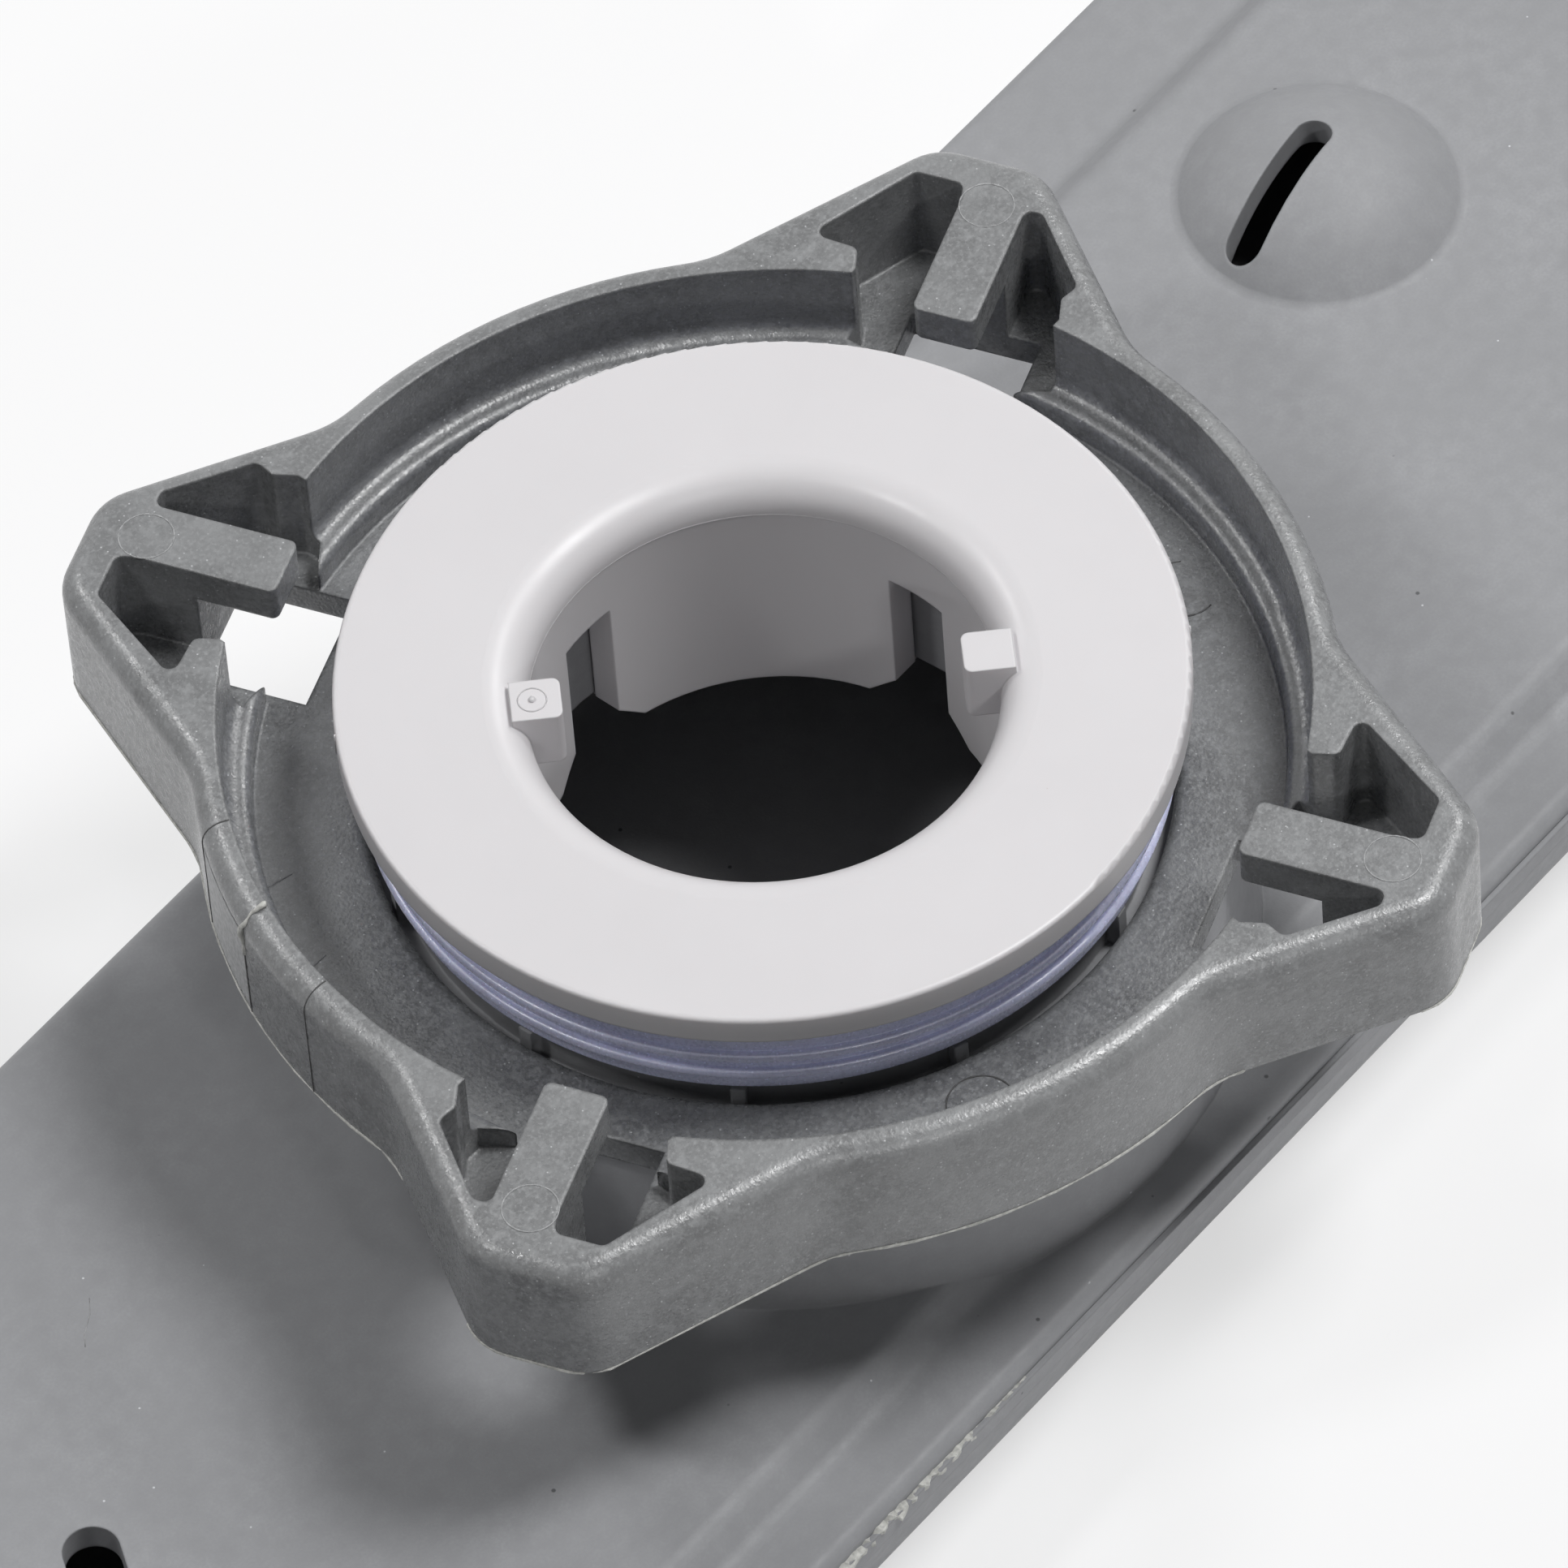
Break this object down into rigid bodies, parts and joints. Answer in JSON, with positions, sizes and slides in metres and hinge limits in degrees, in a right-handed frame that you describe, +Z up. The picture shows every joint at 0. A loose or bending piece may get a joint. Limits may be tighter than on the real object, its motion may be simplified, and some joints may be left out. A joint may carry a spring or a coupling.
{
  "type": "dishwasher spray arm",
  "caption": "Flat hollow spray arm with domed slot nozzles, a central bearing bush with a ribbed seal, and a lobed bayonet mounting collar that the arm turns in.",
  "frame": {"origin": "on the turning axis, on the plane that the lower shell rests on", "axes": "+Z up through the hub, along the turning axis; +X along the arm's length; +Y across the arm"},
  "size_m": [0.4608, 0.0812, 0.037],
  "materials": {
    "arm_plastic": "satin moulded grey, finely speckled",
    "collar_plastic": "fibre-filled dark grey with a fine sparkle",
    "bush_plastic": "smooth pale warm grey",
    "seal_rubber": "blue-grey, slightly glossy"
  },
  "bodies": {
    "arm": {"arm_upper_shell": "arm_plastic", "arm_lower_shell": "arm_plastic", "bearing_bush": "bush_plastic", "seal_ring": "seal_rubber"},
    "collar": {"mounting_collar": "collar_plastic"}
  },
  "joints": [
    {"name": "collar_spin", "type": "hinge", "parent": "arm", "child": "collar", "pos_m": [0, 0, 0.0257], "axis": [0, 0, 1], "continuous": true}
  ]
}
